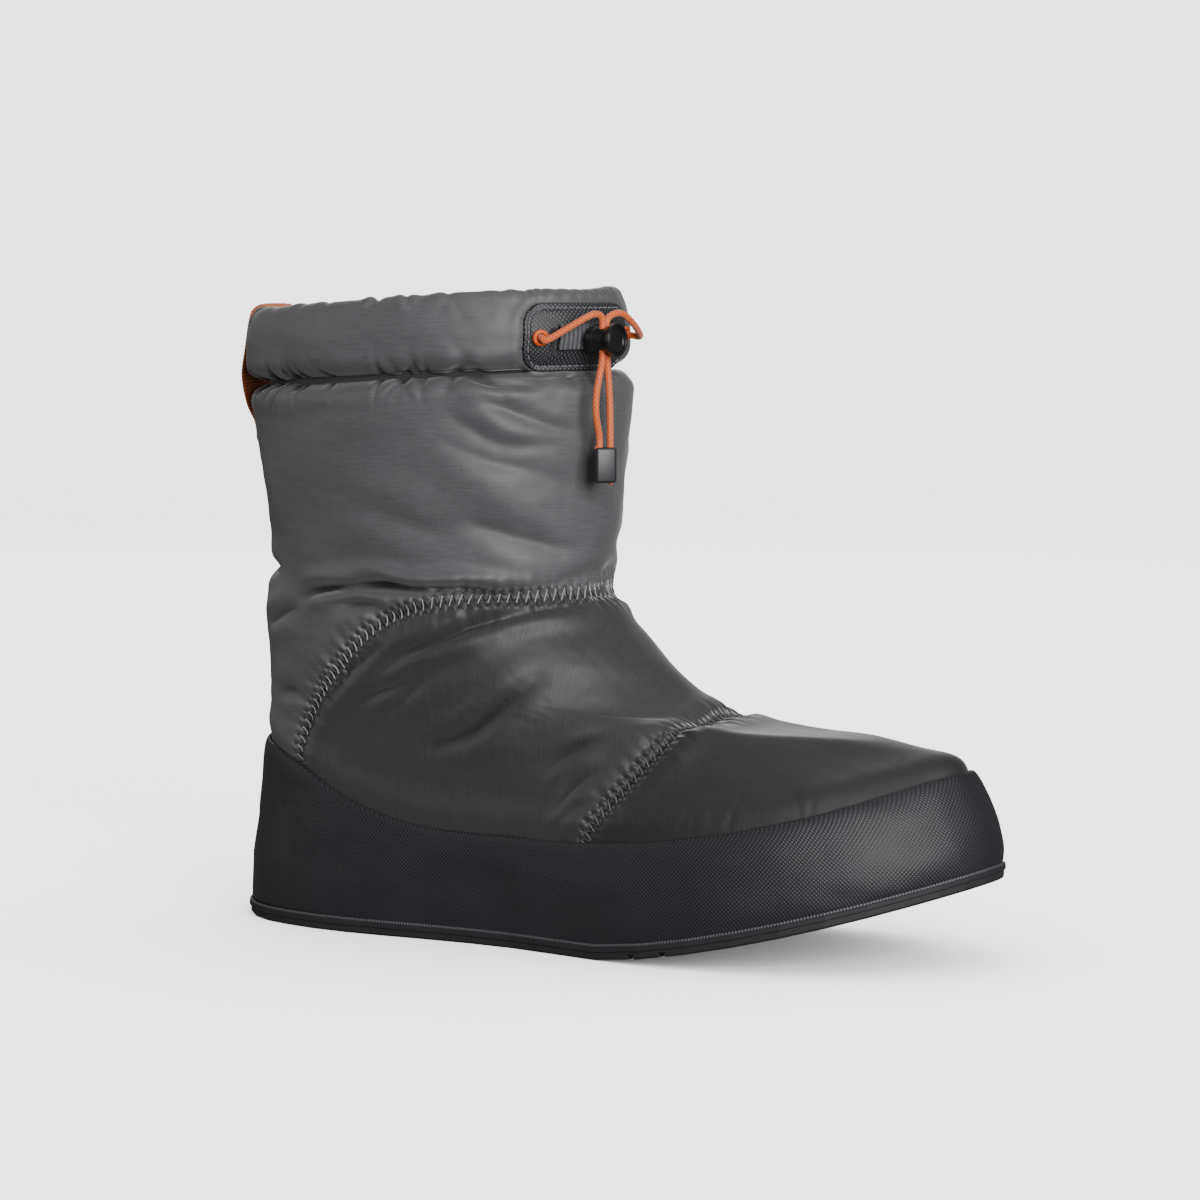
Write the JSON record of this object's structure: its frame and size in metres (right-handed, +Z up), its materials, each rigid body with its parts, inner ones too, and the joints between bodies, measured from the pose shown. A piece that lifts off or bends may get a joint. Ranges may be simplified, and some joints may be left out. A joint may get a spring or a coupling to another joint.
{
  "type": "insulated ankle bootie",
  "caption": "Padded ankle bootie with a textured rand, thin lugged sole, rolled drawcord collar with a cord lock, and a rear pull loop.",
  "frame": {"origin": "middle of the base, on the floor, of the box round the bootie without its free drawcord and clip", "axes": "+X from heel to toe, +Y to the big-toe side, +Z up"},
  "size_m": [0.3088, 0.116, 0.2425],
  "materials": {
    "shaft_nylon": "satin ripstop nylon",
    "rand_fabric": "coarse coated weave",
    "outsole_rubber": "matt",
    "insole_foam": "brushed",
    "patch_nylon": "woven, matt",
    "orange_moulding": "satin",
    "orange_cord": "braided",
    "orange_webbing": "ribbed webbing",
    "grey_webbing": "ribbed webbing",
    "black_plastic": "moulded, satin gloss"
  },
  "bodies": {
    "root": {"upper": "shaft_nylon", "rand": "rand_fabric", "outsole": "outsole_rubber", "insole": "insole_foam", "collar_patch": "patch_nylon", "eyelet_lateral": "orange_moulding", "eyelet_medial": "orange_moulding", "lock_tab": "grey_webbing", "lock_body": "black_plastic", "lock_button": "black_plastic", "pull_loop": "orange_webbing", "drawcord_lateral": "orange_cord", "drawcord_medial": "orange_cord", "cord_clip": "black_plastic"}
  },
  "joints": []
}
